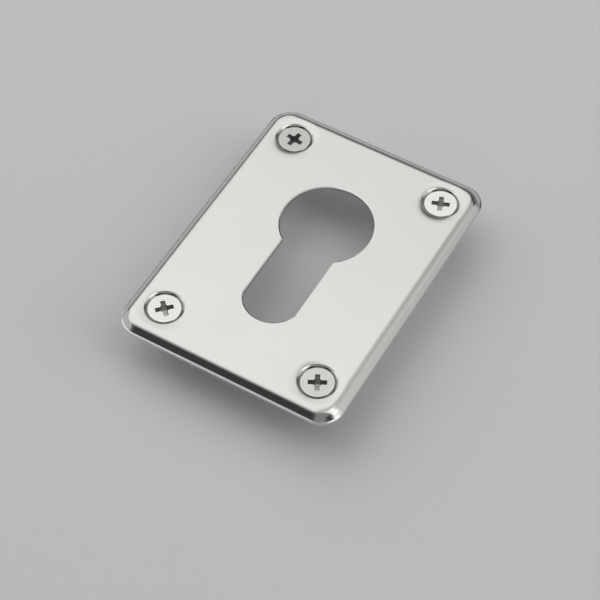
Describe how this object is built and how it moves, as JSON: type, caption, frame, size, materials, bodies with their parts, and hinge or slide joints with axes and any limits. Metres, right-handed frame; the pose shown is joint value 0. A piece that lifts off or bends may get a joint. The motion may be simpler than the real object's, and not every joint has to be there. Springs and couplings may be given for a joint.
{
  "type": "keyhole escutcheon",
  "caption": "Pressed rectangular steel plate with a bevelled rim and a round-and-leg keyhole, with countersunk cross-recess screws in its corners.",
  "frame": {"origin": "middle of the plate, on the plane of the door surface that its rim bears on", "axes": "+Z out of the door towards the viewer, +Y up the plate towards the round end of the keyhole, +X to the right"},
  "size_m": [0.045, 0.06, 0.0103],
  "materials": {
    "satin_steel": "satin",
    "screw_steel": "bright"
  },
  "bodies": {
    "root": {"escutcheon_plate": "satin_steel", "screw_top_left": "screw_steel", "screw_top_right": "screw_steel", "screw_bottom_left": "screw_steel", "screw_bottom_right": "screw_steel"}
  },
  "joints": []
}
